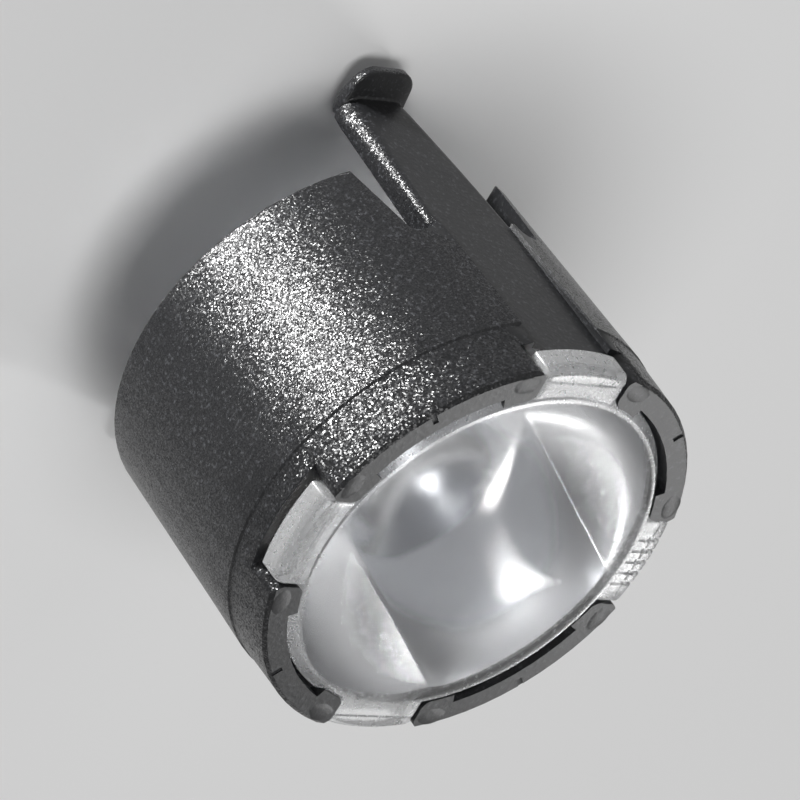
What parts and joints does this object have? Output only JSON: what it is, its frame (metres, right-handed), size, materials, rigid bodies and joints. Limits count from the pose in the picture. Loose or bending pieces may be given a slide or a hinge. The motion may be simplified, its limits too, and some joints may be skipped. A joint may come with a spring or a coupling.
{
  "type": "led lens",
  "caption": "Clear collimating lens with three front lobes, snapped into a black moulded sleeve whose two hooked legs clip through a circuit board.",
  "frame": {"origin": "centre of the sleeve's seat on the circuit board, where the light source stands", "axes": "+Z along the optical axis, the way the light leaves; the two snap legs lie on X; the lens tab with the ribbed end points along -Y"},
  "size_m": [0.0108, 0.01, 0.0097],
  "materials": {
    "black_plastic": "fine spark-eroded texture",
    "clear_plastic": "polished"
  },
  "bodies": {
    "root": {"holder": "black_plastic", "lens": "clear_plastic"}
  },
  "joints": []
}
